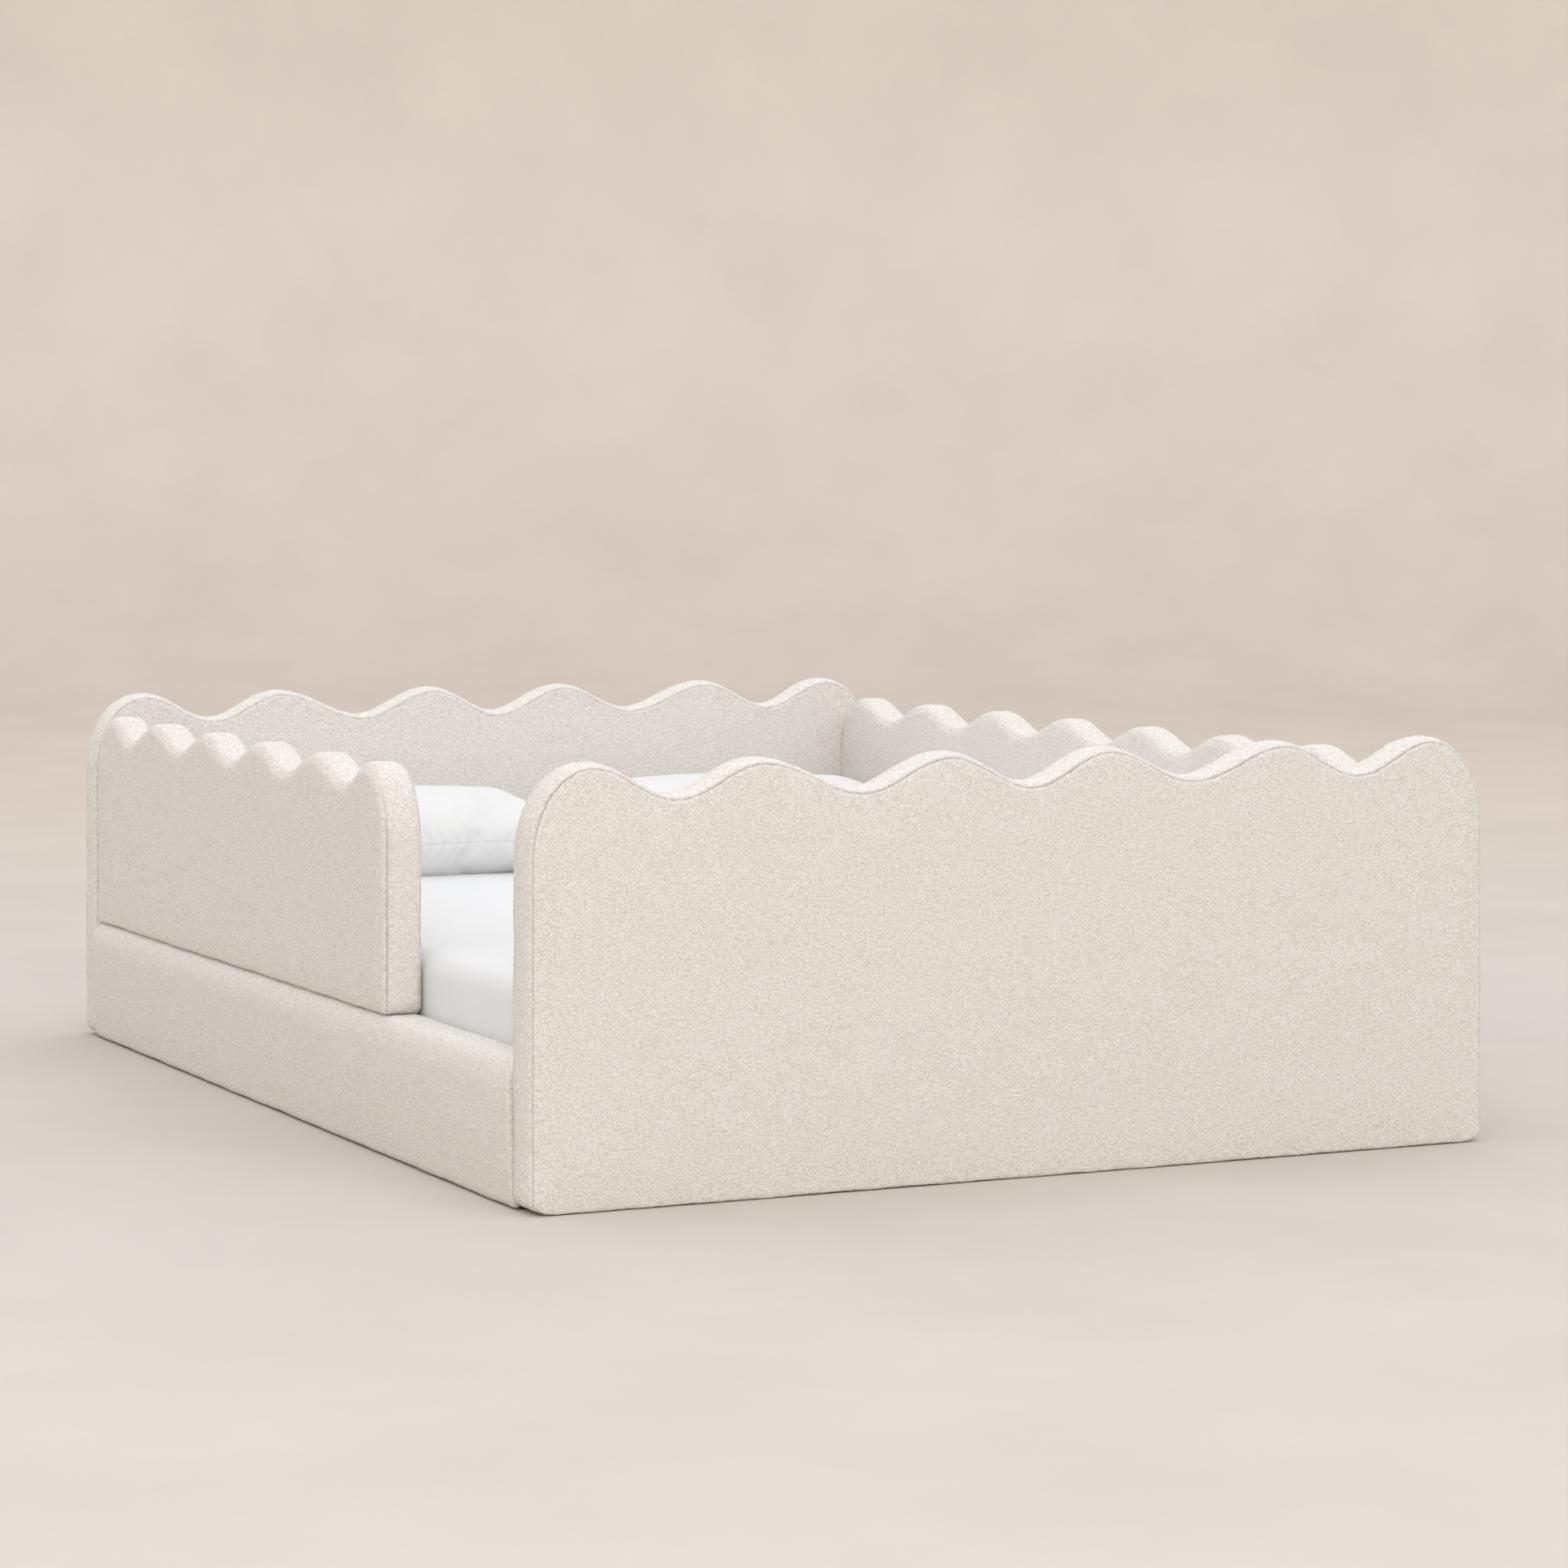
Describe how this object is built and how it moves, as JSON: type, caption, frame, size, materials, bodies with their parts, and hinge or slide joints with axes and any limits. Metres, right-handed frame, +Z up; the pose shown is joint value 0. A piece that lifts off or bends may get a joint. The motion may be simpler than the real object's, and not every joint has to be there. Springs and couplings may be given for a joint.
{
  "type": "upholstered low bed",
  "caption": "Low floor-style bed with scalloped padded end panels, padded side rails, lift-off scalloped guard rails, slats, mattress and pillows.",
  "frame": {"origin": "on the floor, in the middle of the bed's footprint", "axes": "+X across the bed to the side with the full-length guard, +Y from the footboard to the headboard, +Z up"},
  "size_m": [1.514, 2.055, 0.5925],
  "materials": {
    "boucle_cover": "cream looped boucle over foam",
    "plywood_board": "sanded plywood",
    "pine_wood": "planed pine",
    "black_steel": "black powder coat",
    "zinc_steel": "zinc plated",
    "felt_pad": "grey-brown felt",
    "mattress_cotton": "smooth white fitted cotton",
    "pillow_cotton": "soft white cotton"
  },
  "bodies": {
    "bed_frame": {"beam_foot_1": "black_steel", "beam_foot_2": "black_steel", "beam_hanger_foot": "zinc_steel", "beam_hanger_head": "zinc_steel", "centre_beam": "pine_wood", "foot_left_bolt_panel": "zinc_steel", "foot_left_bolt_rail": "zinc_steel", "foot_left_bracket": "black_steel", "foot_right_bolt_panel": "zinc_steel", "foot_right_bolt_rail": "zinc_steel", "foot_right_bracket": "black_steel", "footboard_board": "plywood_board", "footboard_cover": "boucle_cover", "footboard_glide_a": "felt_pad", "footboard_glide_b": "felt_pad", "head_left_bolt_panel": "zinc_steel", "head_left_bolt_rail": "zinc_steel", "head_left_bracket": "black_steel", "head_right_bolt_panel": "zinc_steel", "head_right_bolt_rail": "zinc_steel", "head_right_bracket": "black_steel", "headboard_board": "plywood_board", "headboard_cover": "boucle_cover", "headboard_glide_a": "felt_pad", "headboard_glide_b": "felt_pad", "left_rail_board": "plywood_board", "left_rail_cover": "boucle_cover", "left_slat_cleat": "pine_wood", "right_rail_board": "plywood_board", "right_rail_cover": "boucle_cover", "right_slat_cleat": "pine_wood", "slat_01": "pine_wood", "slat_02": "pine_wood", "slat_03": "pine_wood", "slat_04": "pine_wood", "slat_05": "pine_wood", "slat_06": "pine_wood", "slat_07": "pine_wood", "slat_08": "pine_wood", "slat_09": "pine_wood", "slat_10": "pine_wood", "slat_11": "pine_wood", "slat_12": "pine_wood", "slat_13": "pine_wood"},
    "left_guard": {"left_guard_board": "plywood_board", "left_guard_cover": "boucle_cover", "left_guard_post_1": "black_steel", "left_guard_post_2": "black_steel", "left_guard_post_3": "black_steel"},
    "right_guard": {"right_guard_board": "plywood_board", "right_guard_cover": "boucle_cover", "right_guard_post_1": "black_steel", "right_guard_post_2": "black_steel", "right_guard_post_3": "black_steel", "right_guard_post_4": "black_steel"},
    "mattress": {"mattress": "mattress_cotton"},
    "pillow_left": {"pillow_left": "pillow_cotton"},
    "pillow_right": {"pillow_right": "pillow_cotton"}
  },
  "joints": [
    {"name": "left_guard_lift", "type": "slide", "parent": "bed_frame", "child": "left_guard", "axis": [0, 0, 1], "range_m": [0, 0.12]},
    {"name": "right_guard_lift", "type": "slide", "parent": "bed_frame", "child": "right_guard", "axis": [0, 0, 1], "range_m": [0, 0.12]},
    {"name": "mattress_lift", "type": "slide", "parent": "bed_frame", "child": "mattress", "axis": [0, 0, 1], "range_m": [0, 0.5]},
    {"name": "pillow_left_lift", "type": "slide", "parent": "mattress", "child": "pillow_left", "axis": [0, 0, 1], "range_m": [0, 0.3]},
    {"name": "pillow_right_lift", "type": "slide", "parent": "mattress", "child": "pillow_right", "axis": [0, 0, 1], "range_m": [0, 0.3]}
  ]
}
